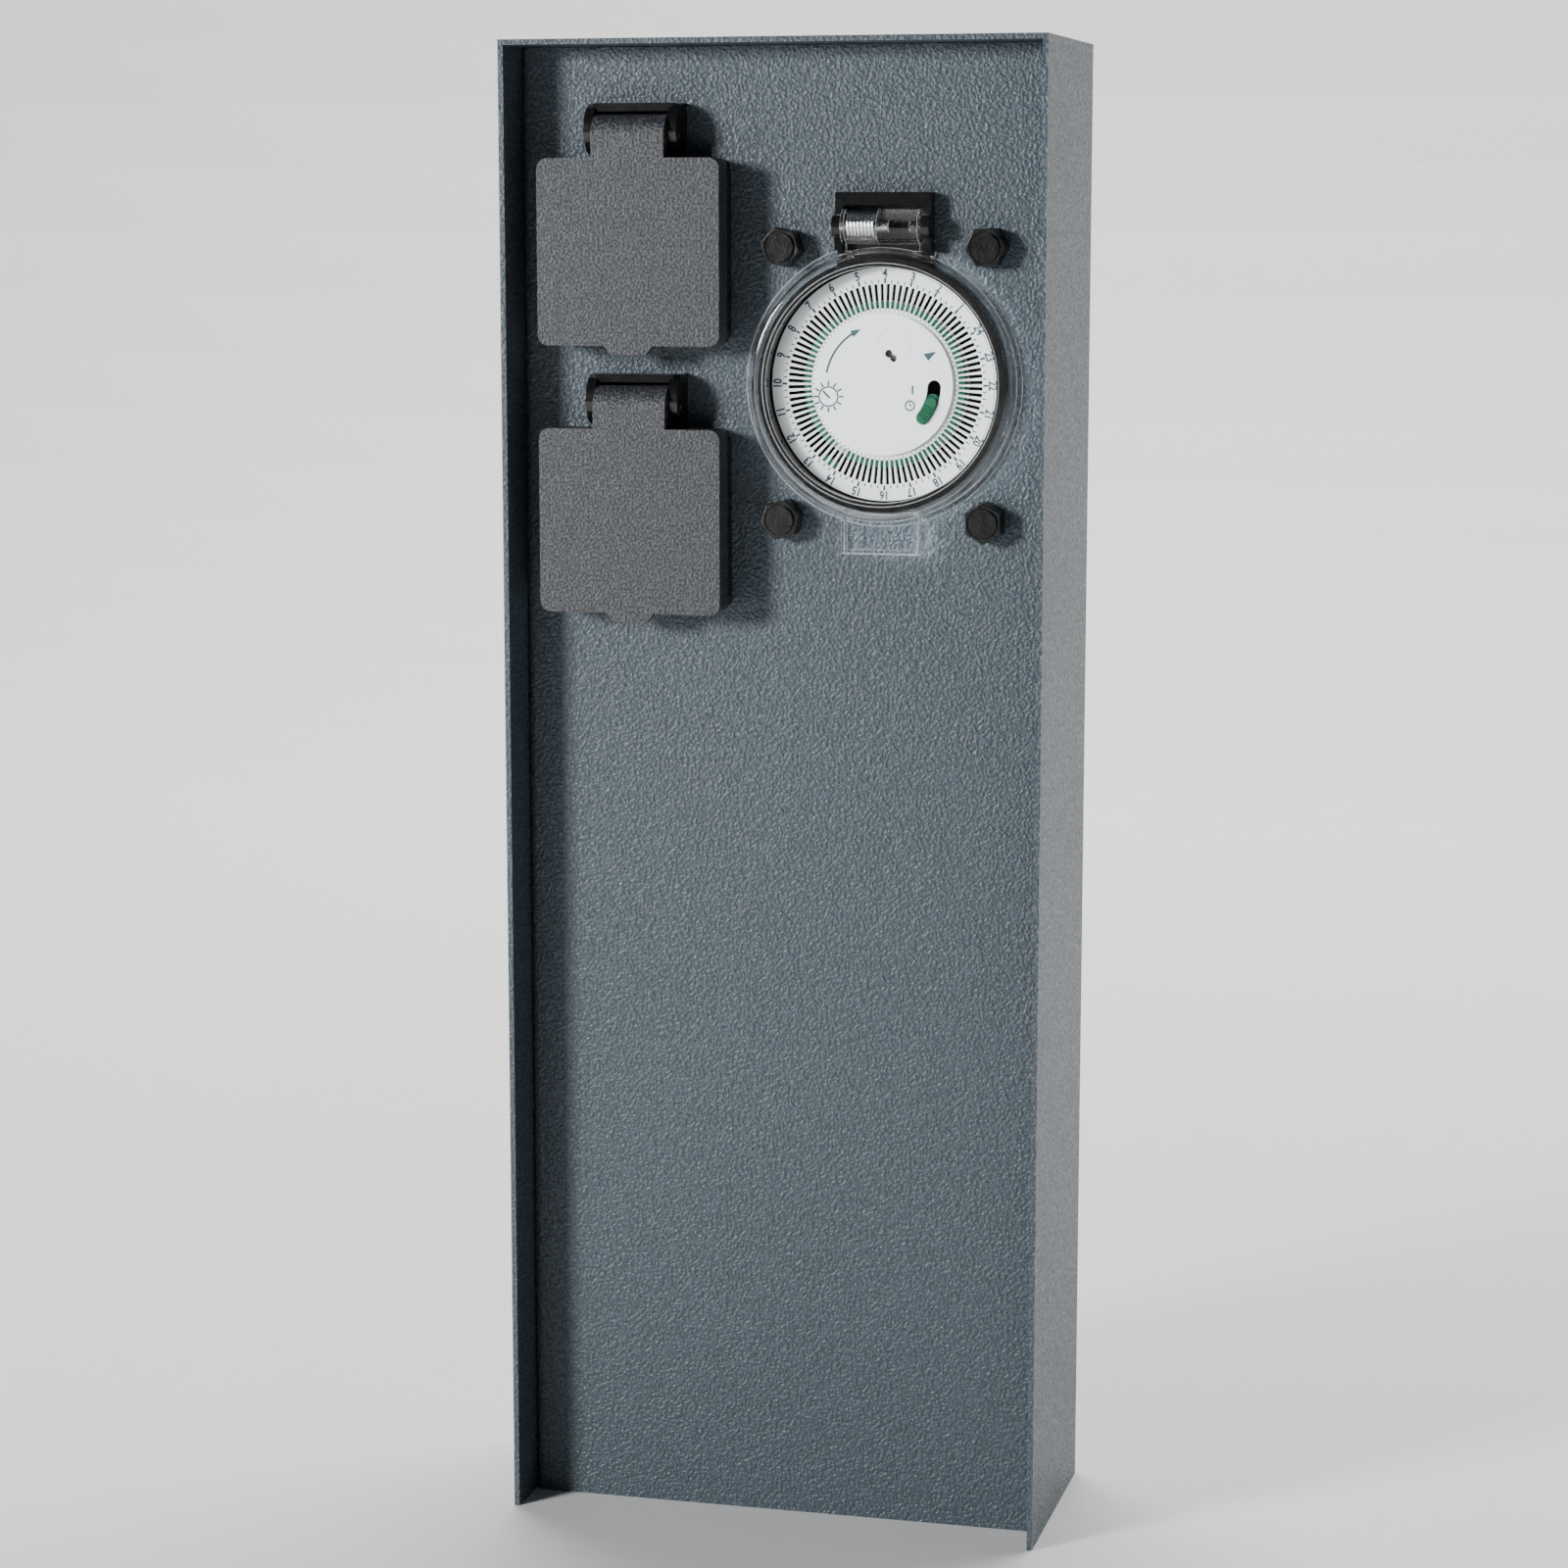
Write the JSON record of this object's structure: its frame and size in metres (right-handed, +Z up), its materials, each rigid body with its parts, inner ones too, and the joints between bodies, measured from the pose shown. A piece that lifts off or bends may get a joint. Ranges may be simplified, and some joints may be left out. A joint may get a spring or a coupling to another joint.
{
  "type": "garden power pillar with timer",
  "caption": "Folded sheet-steel garden power pillar with covered sockets and a day timer under a clear hinged lid, for switching a pump or watering set.",
  "frame": {"origin": "middle of the footprint, on the ground", "axes": "+Z up along the column, -Y out of the front, +X to the right seen from the front"},
  "size_m": [0.15, 0.07, 0.41],
  "materials": {
    "powder_coat": "fine textured powder coat, satin",
    "zinc_steel": "zinc plated, dull",
    "black_plastic": "moulded, satin",
    "frame_plastic": "moulded, glossy",
    "lid_plastic": "fine spark-eroded grain, matt",
    "terminal_plastic": "moulded, satin",
    "brass": "turned",
    "wire_sheath": "extruded PVC",
    "seal_rubber": "moulded elastomer",
    "bright_steel": "bright drawn",
    "spring_steel": "bright wire",
    "screw_black": "black, worn sheen",
    "movement_plastic": "acetal, satin",
    "dial_white": "moulded, satin, teal print",
    "segment_green": "moulded, glossy",
    "indicator_grey": "moulded, satin",
    "clear_plastic": "clear moulded polycarbonate, glossy"
  },
  "bodies": {
    "root": {"housing_shell": "powder_coat", "top_cap": "powder_coat", "front_panel": "powder_coat", "service_cover": "powder_coat", "base_tray": "zinc_steel", "tray_screws": "zinc_steel", "service_cover_screws": "zinc_steel", "terminal_bracket": "zinc_steel", "mounting_plate": "zinc_steel", "fixing_nuts": "zinc_steel", "flange_nuts": "zinc_steel", "cable_gland": "black_plastic", "gland_locknut": "black_plastic", "retaining_ring": "black_plastic", "timer_case": "black_plastic", "microswitch": "black_plastic", "movement_plate": "black_plastic", "upper_socket_frame": "frame_plastic", "lower_socket_frame": "frame_plastic", "timer_collar": "frame_plastic", "supply_terminal_block": "terminal_plastic", "timer_terminals": "terminal_plastic", "upper_contact_carrier": "terminal_plastic", "lower_contact_carrier": "terminal_plastic", "supply_terminal_screws": "brass", "earth_stud": "brass", "earth_nut": "brass", "upper_contact_sleeves": "brass", "lower_contact_sleeves": "brass", "internal_wires": "wire_sheath", "upper_socket_gasket": "seal_rubber", "lower_socket_gasket": "seal_rubber", "collar_seal": "seal_rubber", "upper_earth_bow": "bright_steel", "lower_earth_bow": "bright_steel", "upper_hinge_pin": "bright_steel", "lower_hinge_pin": "bright_steel", "clear_lid_pin": "bright_steel", "drive_motor": "bright_steel", "upper_lid_spring": "spring_steel", "lower_lid_spring": "spring_steel", "clear_lid_spring": "spring_steel", "fixing_screws": "screw_black", "flange_screws": "screw_black", "centre_disc": "dial_white"},
    "upper_lid": {"upper_socket_lid": "lid_plastic", "upper_lid_seal": "seal_rubber"},
    "lower_lid": {"lower_socket_lid": "lid_plastic", "lower_lid_seal": "seal_rubber"},
    "timer_lid": {"clear_lid": "clear_plastic"},
    "dial": {"program_dial": "dial_white", "segments_off": "segment_green"},
    "segment_1": {"segment_on_1": "segment_green"},
    "segment_2": {"segment_on_2": "segment_green"},
    "segment_3": {"segment_on_3": "segment_green"},
    "pinion": {"drive_pinion": "movement_plastic"},
    "indicator": {"run_indicator": "indicator_grey"},
    "slider": {"mode_slider": "segment_green"},
    "lever": {"switch_lever": "movement_plastic"}
  },
  "joints": [
    {"name": "upper_lid_hinge", "type": "hinge", "parent": "root", "child": "upper_lid", "pos_m": [-0.0394, -0.0276, 0.3842], "axis": [-1, 0, 0], "range_deg": [0, 105], "stiffness_Nm_per_rad": 0.02, "springref_deg": -34.38},
    {"name": "lower_lid_hinge", "type": "hinge", "parent": "root", "child": "lower_lid", "pos_m": [-0.0394, -0.0276, 0.3119], "axis": [-1, 0, 0], "range_deg": [0, 105], "stiffness_Nm_per_rad": 0.02, "springref_deg": -34.38},
    {"name": "timer_lid_hinge", "type": "hinge", "parent": "root", "child": "timer_lid", "pos_m": [0.0289, -0.0256, 0.3605], "axis": [-1, 0, 0], "range_deg": [0, 105], "stiffness_Nm_per_rad": 0.02, "springref_deg": -34.38},
    {"name": "dial_turn", "type": "hinge", "parent": "root", "child": "dial", "pos_m": [0.0289, -0.02, 0.3185], "axis": [0, 1, 0], "continuous": true},
    {"name": "pinion_turn", "type": "hinge", "parent": "root", "child": "pinion", "pos_m": [0.03343, -0.02, 0.3354], "axis": [0, 1, 0], "continuous": true},
    {"name": "indicator_turn", "type": "hinge", "parent": "root", "child": "indicator", "pos_m": [0.03175, -0.02, 0.32913], "axis": [0, 1, 0], "continuous": true},
    {"name": "mode_slide", "type": "hinge", "parent": "root", "child": "slider", "pos_m": [0.0289, -0.02, 0.3185], "axis": [0, -1, 0], "range_deg": [0, 18]},
    {"name": "lever_tilt", "type": "hinge", "parent": "root", "child": "lever", "pos_m": [0.0314, -0.02, 0.306], "axis": [0, -1, 0], "range_deg": [0, 6]},
    {"name": "segment_1_slide", "type": "slide", "parent": "dial", "child": "segment_1", "axis": [0.6344, 0, 0.773], "range_m": [0, 0.0044]},
    {"name": "segment_2_slide", "type": "slide", "parent": "dial", "child": "segment_2", "axis": [0.5825, 0, 0.8128], "range_m": [0, 0.0044]},
    {"name": "segment_3_slide", "type": "slide", "parent": "dial", "child": "segment_3", "axis": [0.5281, 0, 0.8492], "range_m": [0, 0.0044]}
  ],
  "couplings": [
    {"joint": "pinion_turn", "follows": "dial_turn", "ratio": 8},
    {"joint": "indicator_turn", "follows": "dial_turn", "ratio": -5},
    {"joint": "lever_tilt", "follows": "mode_slide", "ratio": 0.33333}
  ]
}
